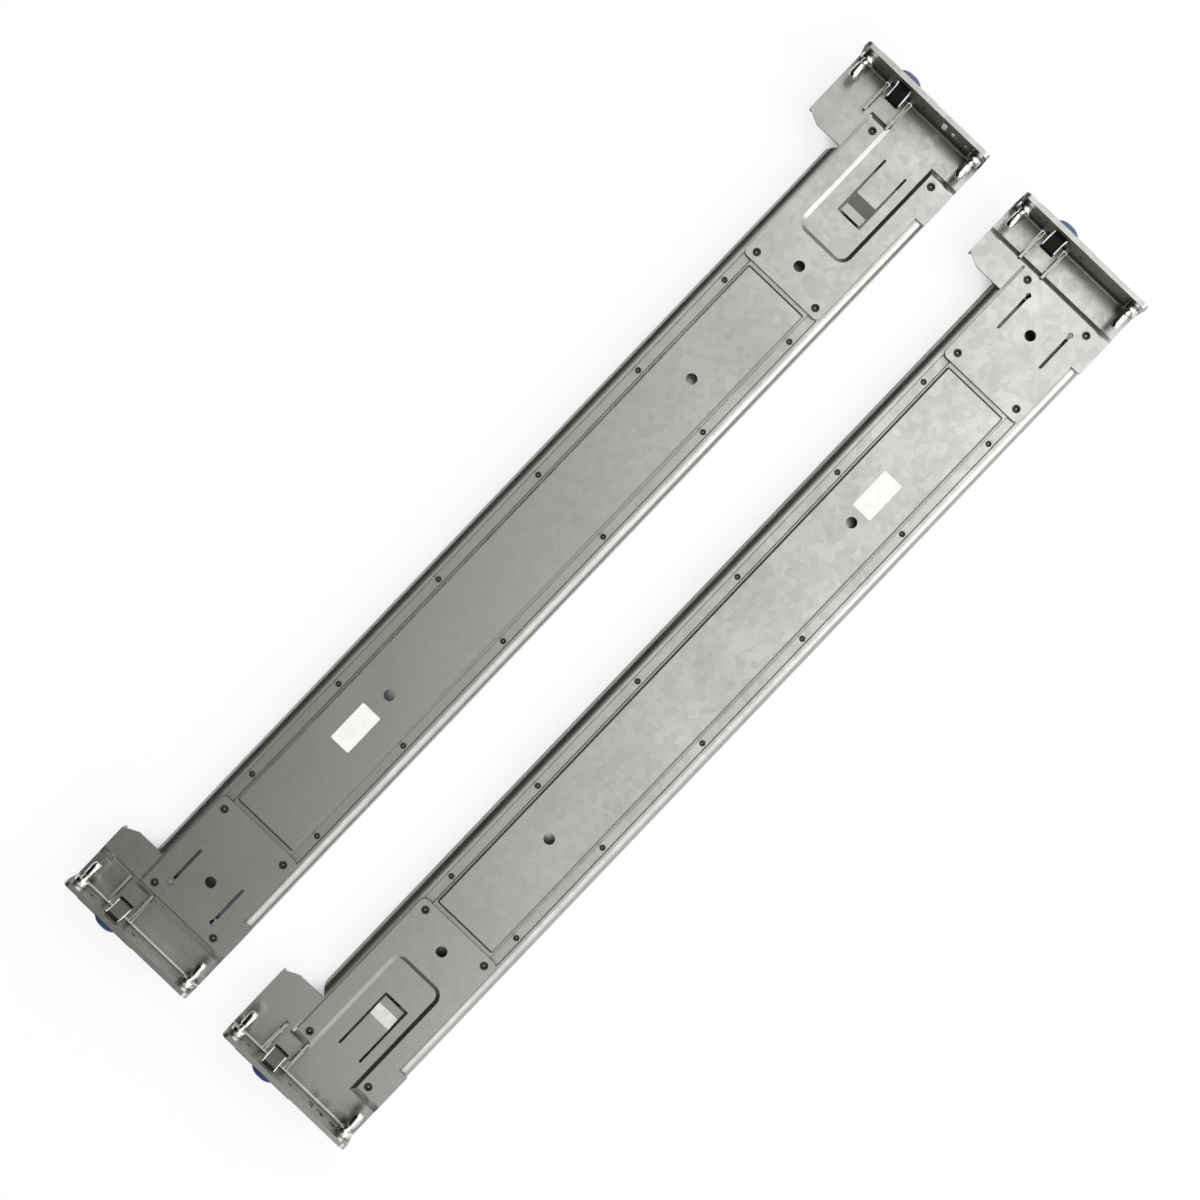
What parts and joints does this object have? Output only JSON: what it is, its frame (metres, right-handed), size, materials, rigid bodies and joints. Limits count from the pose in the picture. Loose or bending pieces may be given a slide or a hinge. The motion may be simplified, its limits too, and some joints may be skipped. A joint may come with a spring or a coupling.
{
  "type": "sliding server rail pair",
  "caption": "Mirrored pair of tool-less two-unit rack rails: channel with flanged brackets, locating pins, sprung latches and a ball-bearing member that slides out for the server.",
  "frame": {"origin": "middle of the pair's box at the surface that it lies on, on the server side", "axes": "+X along the rails, towards the left rail's front; +Y from the right rail to the left one, towards the ears; +Z away from the server, towards the rack post"},
  "size_m": [0.6146, 0.2004, 0.0352],
  "materials": {
    "galvanised_sheet": "zinc-coated sheet, satin",
    "bright_strip": "bright zinc plate",
    "rivet_steel": "dull zinc",
    "chrome_steel": "polished",
    "spring_sheet": "bright",
    "spring_wire": "drawn wire",
    "black_moulding": "moulded",
    "blue_moulding": "moulded"
  },
  "bodies": {
    "rails": {"left_outer_channel": "galvanised_sheet", "left_upper_raceway": "bright_strip", "left_lower_raceway": "bright_strip", "left_raceway_rivets": "rivet_steel", "left_rear_bumper": "black_moulding", "left_front_bracket": "galvanised_sheet", "left_front_bracket_rivets": "rivet_steel", "left_rear_bracket": "galvanised_sheet", "left_rear_bracket_rivets": "rivet_steel", "left_front_flange_cover": "galvanised_sheet", "left_front_cover_rivets": "rivet_steel", "left_front_locating_pins": "chrome_steel", "left_front_latch_pin": "rivet_steel", "left_rear_flange_cover": "galvanised_sheet", "left_rear_cover_rivets": "rivet_steel", "left_rear_locating_pins": "chrome_steel", "left_rear_latch_pin": "rivet_steel", "right_outer_channel": "galvanised_sheet", "right_upper_raceway": "bright_strip", "right_lower_raceway": "bright_strip", "right_raceway_rivets": "rivet_steel", "right_rear_bumper": "black_moulding", "right_front_bracket": "galvanised_sheet", "right_front_bracket_rivets": "rivet_steel", "right_rear_bracket": "galvanised_sheet", "right_rear_bracket_rivets": "rivet_steel", "right_front_flange_cover": "galvanised_sheet", "right_front_cover_rivets": "rivet_steel", "right_front_locating_pins": "chrome_steel", "right_front_latch_pin": "rivet_steel", "right_rear_flange_cover": "galvanised_sheet", "right_rear_cover_rivets": "rivet_steel", "right_rear_locating_pins": "chrome_steel", "right_rear_latch_pin": "rivet_steel"},
    "left_slide": {"left_sliding_member": "bright_strip"},
    "left_retainer": {"left_ball_retainer": "bright_strip", "left_bearing_balls": "chrome_steel"},
    "left_front_latch": {"left_front_latch": "spring_sheet", "left_front_latch_spring": "spring_wire", "left_front_release_button": "blue_moulding"},
    "left_rear_latch": {"left_rear_latch": "spring_sheet", "left_rear_latch_spring": "spring_wire", "left_rear_release_button": "blue_moulding"},
    "right_slide": {"right_sliding_member": "bright_strip"},
    "right_retainer": {"right_ball_retainer": "bright_strip", "right_bearing_balls": "chrome_steel"},
    "right_front_latch": {"right_front_latch": "spring_sheet", "right_front_latch_spring": "spring_wire", "right_front_release_button": "blue_moulding"},
    "right_rear_latch": {"right_rear_latch": "spring_sheet", "right_rear_latch_spring": "spring_wire", "right_rear_release_button": "blue_moulding"}
  },
  "joints": [
    {"name": "left_slide_travel", "type": "slide", "parent": "rails", "child": "left_slide", "axis": [1, 0, 0], "range_m": [0, 0.32]},
    {"name": "left_retainer_travel", "type": "slide", "parent": "rails", "child": "left_retainer", "axis": [1, 0, 0], "range_m": [0, 0.16]},
    {"name": "left_front_latch_hinge", "type": "hinge", "parent": "rails", "child": "left_front_latch", "pos_m": [0.2845, 0.07104, 0.0116], "axis": [0, 1, 0], "range_deg": [0, 9], "stiffness_Nm_per_rad": 0.25, "springref_deg": -20.05},
    {"name": "left_rear_latch_hinge", "type": "hinge", "parent": "rails", "child": "left_rear_latch", "pos_m": [-0.2845, 0.07104, 0.0116], "axis": [0, -1, 0], "range_deg": [0, 9], "stiffness_Nm_per_rad": 0.25, "springref_deg": -20.05},
    {"name": "right_slide_travel", "type": "slide", "parent": "rails", "child": "right_slide", "axis": [-1, 0, 0], "range_m": [0, 0.32]},
    {"name": "right_retainer_travel", "type": "slide", "parent": "rails", "child": "right_retainer", "axis": [-1, 0, 0], "range_m": [0, 0.16]},
    {"name": "right_front_latch_hinge", "type": "hinge", "parent": "rails", "child": "right_front_latch", "pos_m": [-0.2845, -0.04246, 0.0116], "axis": [0, -1, 0], "range_deg": [0, 9], "stiffness_Nm_per_rad": 0.25, "springref_deg": -20.05},
    {"name": "right_rear_latch_hinge", "type": "hinge", "parent": "rails", "child": "right_rear_latch", "pos_m": [0.2845, -0.04246, 0.0116], "axis": [0, 1, 0], "range_deg": [0, 9], "stiffness_Nm_per_rad": 0.25, "springref_deg": -20.05}
  ],
  "couplings": [
    {"joint": "left_retainer_travel", "follows": "left_slide_travel", "ratio": 0.5},
    {"joint": "right_retainer_travel", "follows": "right_slide_travel", "ratio": 0.5}
  ]
}
